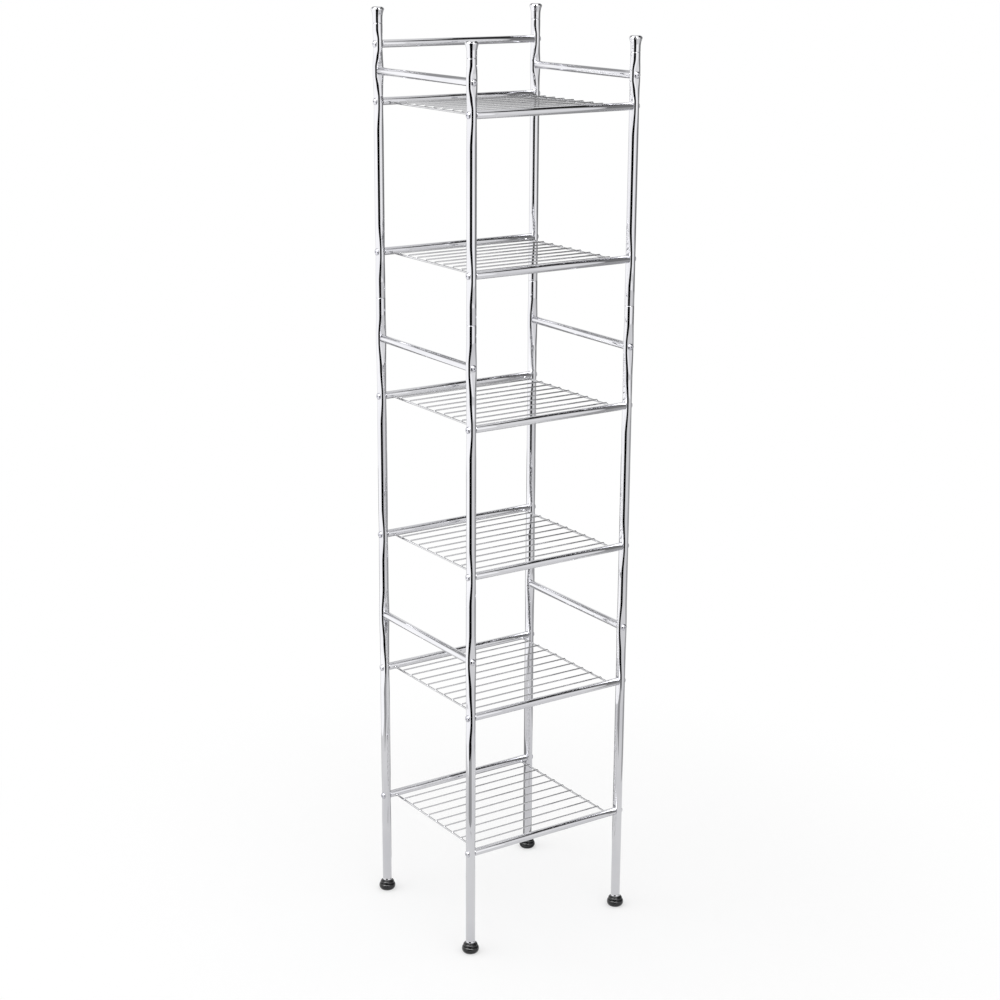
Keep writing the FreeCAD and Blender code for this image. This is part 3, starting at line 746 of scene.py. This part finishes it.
# %% [markdown]
# Connector sleeves and threaded inserts sit inside the tubes. Their CAD shapes are right as they
# are, so they stay and only get the zinc finish.

# %% Inner pieces
inner = [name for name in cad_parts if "insert" in name or "connector" in name]
for name in inner:
    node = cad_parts[name]
    node.data.materials.clear()
    node.data.materials.append(zinc_steel)
print("inner pieces with zinc finish:", len(inner))

# %% [markdown]
# The stage is a plain white studio. The floor is a pale disc that keeps the tower's soft shadow
# near the feet and fades to white further out. The world is white for what the camera sees and for
# what the chrome mirrors. Chrome needs something dark to mirror as well, or its tubes would have no
# shape, so photographers stand cards around it; these ones are seen by reflections alone.

# %% Floor
FLOOR_RADIUS = 60.0
FLOOR_SIDES = 96
SHADOW_RADIUS = 0.45
FADE_RADIUS = 1.1
FLOOR_LIFT = 0.4


def seen_directly(tree):
    """1 for camera, glossy and transmission rays, 0 for the rays that carry light about."""
    path = add_node(tree, "LightPath")
    pair = add_node(tree, "Math", {"operation": "MAXIMUM"},
                    {0: path.outputs["Is Camera Ray"], 1: path.outputs["Is Glossy Ray"]})
    every = add_node(tree, "Math", {"operation": "MAXIMUM"},
                     {0: pair.outputs["Value"], 1: path.outputs["Is Transmission Ray"]})
    return every.outputs["Value"]


def stage_piece(name, bm, finish):
    """An object of the studio, which is no part of the tower."""
    piece = new_object(name, bm, finish)
    return piece


pale_floor, tree, place = new_finish("pale_floor")
distance = add_node(tree, "VectorMath", {"operation": "LENGTH"}, {0: place})
fade = add_node(tree, "MapRange", {"interpolation_type": "SMOOTHSTEP", "From Min": SHADOW_RADIUS,
                                   "From Max": FADE_RADIUS, "To Min": FLOOR_LIFT, "To Max": 1.0},
                {"Value": distance.outputs["Value"]})
share = add_node(tree, "Math", {"operation": "MULTIPLY"},
                 {0: fade.outputs["Result"], 1: seen_directly(tree)})
paper = add_node(tree, "BsdfDiffuse", {"Color": linear("#f6f6f6")})
white = add_node(tree, "Emission", {"Color": linear("#ffffff"), "Strength": 1.0})
mixed = add_node(tree, "MixShader", links={0: share.outputs["Value"], 1: paper.outputs["BSDF"],
                                           2: white.outputs["Emission"]})
add_node(tree, "OutputMaterial", links={"Surface": mixed.outputs["Shader"]})
bm = bmesh.new()
bmesh.ops.create_circle(bm, cap_ends=True, segments=FLOOR_SIDES, radius=FLOOR_RADIUS)
stage_piece("floor", bm, pale_floor)
print("floor: a shadow up to", SHADOW_RADIUS, "m, white from", FADE_RADIUS, "m")

# %% World
WORLD_LIGHT = 0.95

world = bpy.data.worlds.new("white_studio")
scene.world = world
world.use_nodes = True
world.node_tree.nodes.clear()
strength = add_node(world.node_tree, "MapRange", {"To Min": WORLD_LIGHT, "To Max": 1.0},
                    {"Value": seen_directly(world.node_tree)})
sky = add_node(world.node_tree, "Background", {"Color": linear("#ffffff")},
               {"Strength": strength.outputs["Result"]})
add_node(world.node_tree, "OutputWorld", links={"Surface": sky.outputs["Background"]})
print("world:", world.name, "gives light of strength", WORLD_LIGHT)

# %% [markdown]
# Angles round the stage are measured from straight in front, positive to the left. Two softboxes
# light the floor and the feet; the chrome does not mirror them.

# %% Softboxes
TOWER_MIDDLE = Vector((0, 0, 0.75))


def facing(angle):
    """Level direction at an angle from straight in front, positive to the left."""
    return Vector((-sin(radians(angle)), -cos(radians(angle)), 0))


def softbox(name, angle, distance, lift, width, height, brightness):
    """An area lamp aimed at the tower; its power is how bright it looks, times pi and its area."""
    lamp = bpy.data.lights.new(name, "AREA")
    lamp.shape = "RECTANGLE"
    lamp.size, lamp.size_y = width, height
    lamp.energy = brightness * pi * width * height
    light = bpy.data.objects.new(name, lamp)
    scene.collection.objects.link(light)
    place = facing(angle) * distance + Vector((0, 0, lift))
    light.matrix_world = (Matrix.Translation(place)
                          @ (place - TOWER_MIDDLE).to_track_quat("Z", "Y").to_matrix().to_4x4())
    light.visible_camera = light.visible_glossy = False


softbox("left_softbox", angle=115, distance=3.2, lift=2.1, width=3.7, height=4.2, brightness=0.6)
softbox("front_softbox", angle=8, distance=3.6, lift=2.2, width=2.9, height=4.4, brightness=0.5)
print("softboxes:", len(bpy.data.lights))

# %% [markdown]
# What the chrome mirrors are cards swept round the tower: bright ones to the left and in front, a
# softer one further to the right, a black one between the first two, which makes the dark line down
# every post, and a grey one on the right. Shade on the floor behind draws the lower edge of tubes
# and rails. High up, a dark card draws a line along every shelf tube, a grey one behind shades the
# tops of the side rails, and a very bright one makes the rings on the shoulders of the feet. A
# black flag above the front left corner carries the dark line over the rims of the finials. Cards
# that begin on the floor, some way off, make their lines fade low on the posts, as they do in the
# photograph.

# %% Cards
CARD_STEP = 6
WALL, NEAR_WALL, LOW_TOP, HIGH_TOP, FLOOR_CARD = 5.0, 4.9, 3.2, 6.4, 0.002


def card(name, edge, from_angle, to_angle, radiance):
    """A card for reflections alone: an edge of (distance, height) points swept round the tower."""
    finish, tree, _ = new_finish(name)
    glow = add_node(tree, "Emission", {"Color": linear("#ffffff"), "Strength": radiance})
    add_node(tree, "OutputMaterial", links={"Surface": glow.outputs["Emission"]})
    bm = bmesh.new()
    verts = [bm.verts.new(facing(from_angle) * far + Vector((0, 0, z))) for far, z in edge]
    edges = [bm.edges.new(pair) for pair in zip(verts, verts[1:])]
    sweep = to_angle - from_angle
    bmesh.ops.spin(bm, geom=verts + edges, cent=(0, 0, 0), axis=(0, 0, 1), angle=-radians(sweep),
                   steps=max(2, round(sweep / CARD_STEP)))
    piece = stage_piece(name, bm, finish)
    piece.visible_camera = piece.visible_diffuse = piece.visible_shadow = False
    piece.visible_transmission = False


# Each card has its edge, the two angles that it spans, and its brightness, where 1 is white.
card("bright_left_card", [(0.9, FLOOR_CARD), (WALL, FLOOR_CARD), (WALL, LOW_TOP)], 74, 162, 1.55)
card("bright_front_card", [(WALL, 0), (WALL, LOW_TOP)], -20, 18, 1.45)
card("soft_front_card", [(WALL, 0), (WALL, LOW_TOP)], -45, -21, 1.15)
card("black_card", [(1.0, FLOOR_CARD), (WALL, FLOOR_CARD), (WALL, HIGH_TOP)], 19, 73, 0.003)
card("black_card_rim", [(0.7, FLOOR_CARD), (1.0, FLOOR_CARD)], 19, 73, 0.45)
card("grey_card", [(WALL, FLOOR_CARD), (WALL, HIGH_TOP)], -118, -46, 0.26)
card("grey_floor_card", [(0.75, FLOOR_CARD), (WALL, FLOOR_CARD)], -118, -46, 0.5)
card("shade_behind_card", [(0.19, FLOOR_CARD), (3.0, FLOOR_CARD)], 162, 242, 0.36)
card("grey_behind_card", [(WALL, 3.6), (WALL, 7.0)], 146, 208, 0.46)
card("dark_high_card", [(NEAR_WALL, 5.0), (NEAR_WALL, 9.5)], -125, -28, 0.03)
card("bright_high_card", [(NEAR_WALL, 3.3), (NEAR_WALL, 12.0)], -4, 116, 8.0)
card("black_flag", [(1.3, 2.05), (0.9, 3.6)], 12, 70, 0.003)
print("cards stand", WALL, "m from the tower, high ones", NEAR_WALL, "m")
